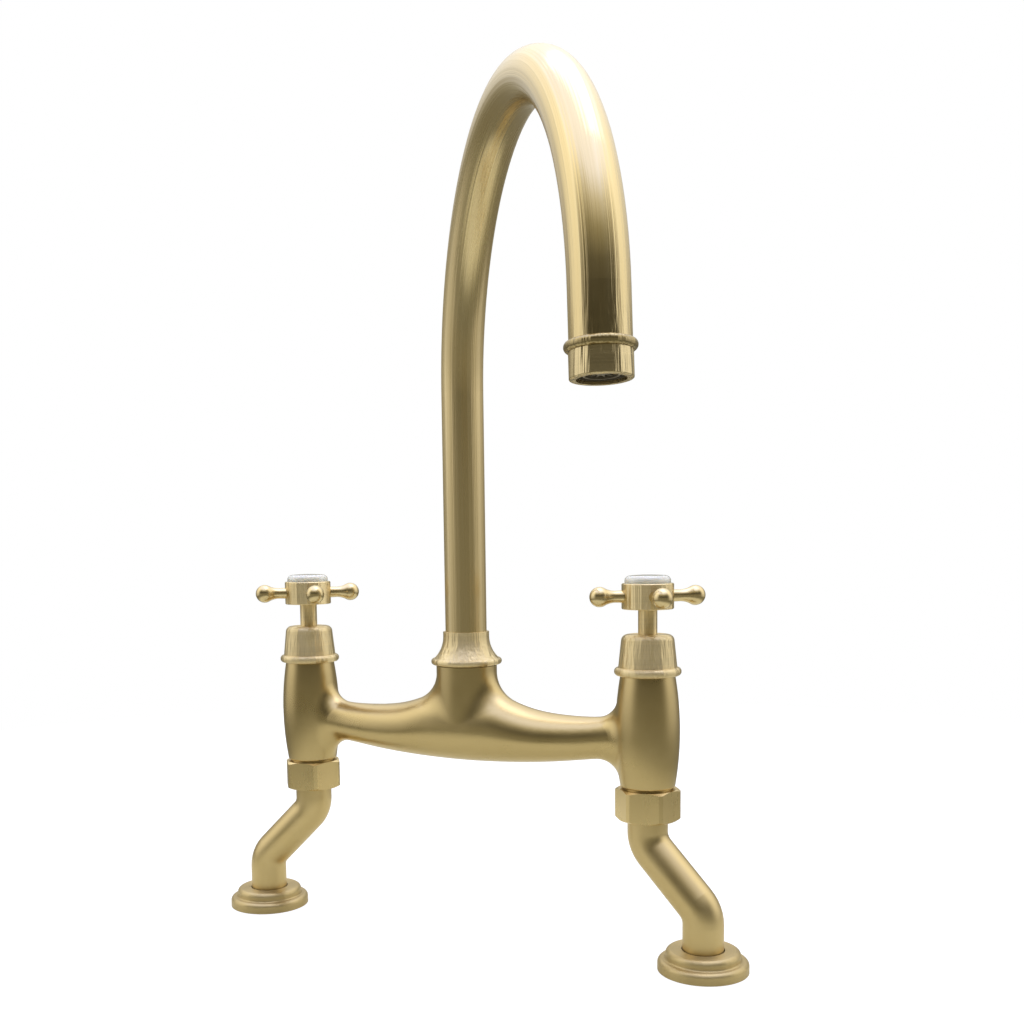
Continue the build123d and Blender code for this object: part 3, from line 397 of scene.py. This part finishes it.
# Height of the direction, level as a share of the room's light, and its tint.
FRONT_LEVELS = ((0.0, 0.11, WARM), (0.14, 0.08, WARM), (0.26, 0.025, WARM), (0.45, 0.055, WARM),
                (0.62, 0.16, WARM), (0.74, 0.34, PLAIN), (0.86, 0.85, COOL), (1.0, 0.96, COOL))
SIDE_LEVELS = ((0.0, 0.32, PLAIN), (0.14, 0.46, PLAIN), (0.26, 0.50, PLAIN), (0.50, 0.56, PLAIN),
               (0.72, 0.66, PLAIN), (0.86, 0.92, COOL), (1.0, 0.96, COOL))
BACK_LEVELS = ((0.0, 0.10, WARM), (0.16, 0.14, WARM), (0.28, 0.26, PLAIN), (0.45, 0.42, PLAIN),
               (0.65, 0.60, PLAIN), (0.86, 0.92, COOL), (1.0, 0.96, COOL))
# How far a direction turns to the front or the back, and that side's share.
FRONT_SHARE = ((0.10, 0.0, PLAIN), (0.68, 1.0, PLAIN))
BACK_SHARE = ((0.26, 0.0, PLAIN), (0.70, 1.0, PLAIN))


def ramp(n, value, stops, interpolation="LINEAR"):
    """Colours along a value. Each stop is a position, a level and a tint."""
    made = n.node("ShaderNodeValToRGB")
    made.color_ramp.interpolation = interpolation
    elements = made.color_ramp.elements
    while len(elements) < len(stops):
        elements.new(0.5)
    for element, (position, level, tint) in zip(elements, stops):
        element.position = position
        element.color = (*scaled(tint, level), 1)
    n.link(value, made.inputs[0])
    return made.outputs[0]


def room():
    """Soft studio light, brighter above and at the sides. The camera sees plain white."""
    world = bpy.data.worlds.new("room")
    bpy.context.scene.world = world
    world.use_nodes = True
    n = Nodes(world.node_tree)
    n.tree.nodes.clear()
    direction = n.node("ShaderNodeTexCoord").outputs["Generated"]
    height = n.split(direction)[2]
    level = n.vector("NORMALIZE", n.vector("MULTIPLY", direction, (1, 1, 0)))
    in_front = ramp(n, n.vector("DOT_PRODUCT", level, FRONT), FRONT_SHARE, "EASE")
    behind = ramp(n, n.vector("DOT_PRODUCT", level, -FRONT), BACK_SHARE, "EASE")
    front, side, back = [ramp(n, height, stops) for stops in (FRONT_LEVELS, SIDE_LEVELS, BACK_LEVELS)]
    lit = n.node("ShaderNodeBackground")
    n.link(n.blend(in_front, n.blend(behind, side, back), front), lit.inputs["Color"])
    lit.inputs["Strength"].default_value = ROOM_LIGHT
    white = n.node("ShaderNodeBackground")
    white.inputs["Color"].default_value = (*WHITE, 1)
    output = n.node("ShaderNodeOutputWorld")
    n.link(n.camera_sees(white.outputs[0], lit.outputs[0]), output.inputs["Surface"])


# ---- Lamp -----------------------------------------------------------------------------------
LAMP_AT = Vector((0.1, 0.15, 1.25))
LAMP_AIM = Vector((0.0, 0.0, 0.20))
LAMP_SIZE = (0.9, 0.6)
LAMP_WATTS = 2.0


def overhead_lamp():
    """Weak wide softbox above the faucet."""
    lamp = bpy.data.lights.new("overhead", "AREA")
    lamp.shape = "RECTANGLE"
    lamp.size, lamp.size_y = LAMP_SIZE
    lamp.energy = LAMP_WATTS
    made = bpy.data.objects.new("overhead", lamp)
    bpy.context.scene.collection.objects.link(made)
    made.location = LAMP_AT
    made.rotation_euler = (LAMP_AIM - LAMP_AT).to_track_quat("-Z", "Y").to_euler()


# ---- Camera ---------------------------------------------------------------------------------
CAMERA_AT = Vector((0.29006, -0.55721, 0.21494))
CAMERA_YAW = radians(26.7973151)
CAMERA_PITCH = radians(-6.013707)
CAMERA_ROLL = radians(-0.84035288)
SENSOR_WIDTH = 36.0                     # mm
FOCAL_PIXELS = 1178.0313
PICTURE = 1024
CENTRE_X, CENTRE_Y = 480.939, 660.536   # where the camera's axis meets the picture
CLIP_START, CLIP_END = 0.01, 20.0


def camera():
    """The photograph's viewing angle and perspective."""
    data = bpy.data.cameras.new("camera")
    data.sensor_width = SENSOR_WIDTH
    data.lens = FOCAL_PIXELS * SENSOR_WIDTH / PICTURE
    data.shift_x = (PICTURE / 2 - CENTRE_X) / PICTURE
    data.shift_y = (CENTRE_Y - PICTURE / 2) / PICTURE
    data.clip_start, data.clip_end = CLIP_START, CLIP_END
    made = bpy.data.objects.new("camera", data)
    bpy.context.scene.collection.objects.link(made)
    ahead = cos(CAMERA_PITCH)
    forward = Vector((-sin(CAMERA_YAW) * ahead, cos(CAMERA_YAW) * ahead, sin(CAMERA_PITCH)))
    level = forward.cross(Vector((0, 0, 1))).normalized()
    upright = level.cross(forward)
    right = level * cos(CAMERA_ROLL) + upright * sin(CAMERA_ROLL)
    up = upright * cos(CAMERA_ROLL) - level * sin(CAMERA_ROLL)
    axes = Matrix((right, up, -forward)).transposed().to_4x4()
    made.matrix_world = Matrix.Translation(CAMERA_AT) @ axes
    bpy.context.scene.camera = made


bpy.context.scene.view_settings.view_transform = "Standard"
dress_all()
floor()
room()
overhead_lamp()
camera()
